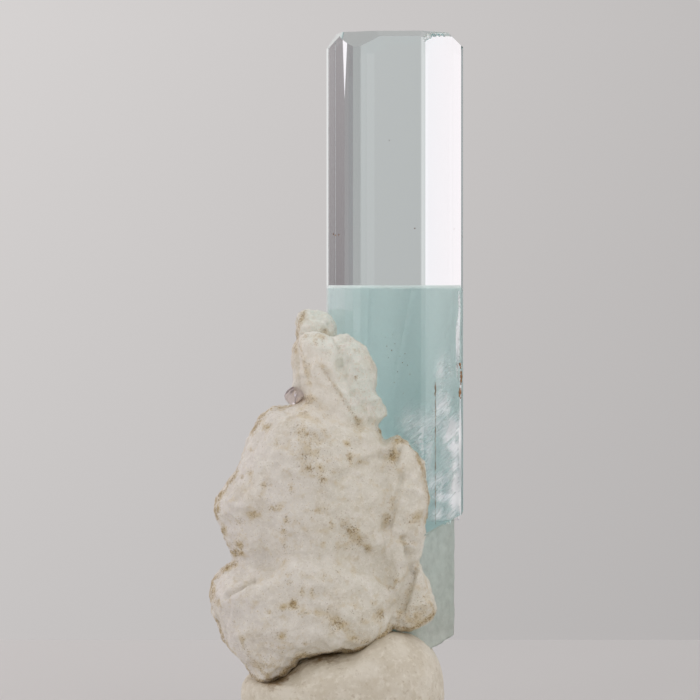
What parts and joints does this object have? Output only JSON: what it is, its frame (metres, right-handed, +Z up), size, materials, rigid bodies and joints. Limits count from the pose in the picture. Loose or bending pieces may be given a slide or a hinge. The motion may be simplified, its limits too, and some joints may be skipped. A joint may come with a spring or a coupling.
{
  "type": "aquamarine crystal on albite matrix",
  "caption": "Tall clear hexagonal aquamarine crystal with a flat bevelled top, grown on a rounded lump of white albite and set upright in a kneaded clay foot.",
  "frame": {"origin": "on the flat resting face, under the middle of the clay foot", "axes": "+Z up along the crystal, -Y towards the front where the albite lobes stand before the crystal, +X to the crystal's free side"},
  "size_m": [0.031, 0.0283, 0.0866],
  "materials": {
    "aquamarine": "polished",
    "albite": "matte",
    "mounting_clay": "matte"
  },
  "bodies": {
    "root": {"aquamarine_crystal": "aquamarine", "albite_matrix": "albite", "clay_foot": "mounting_clay"}
  },
  "joints": []
}
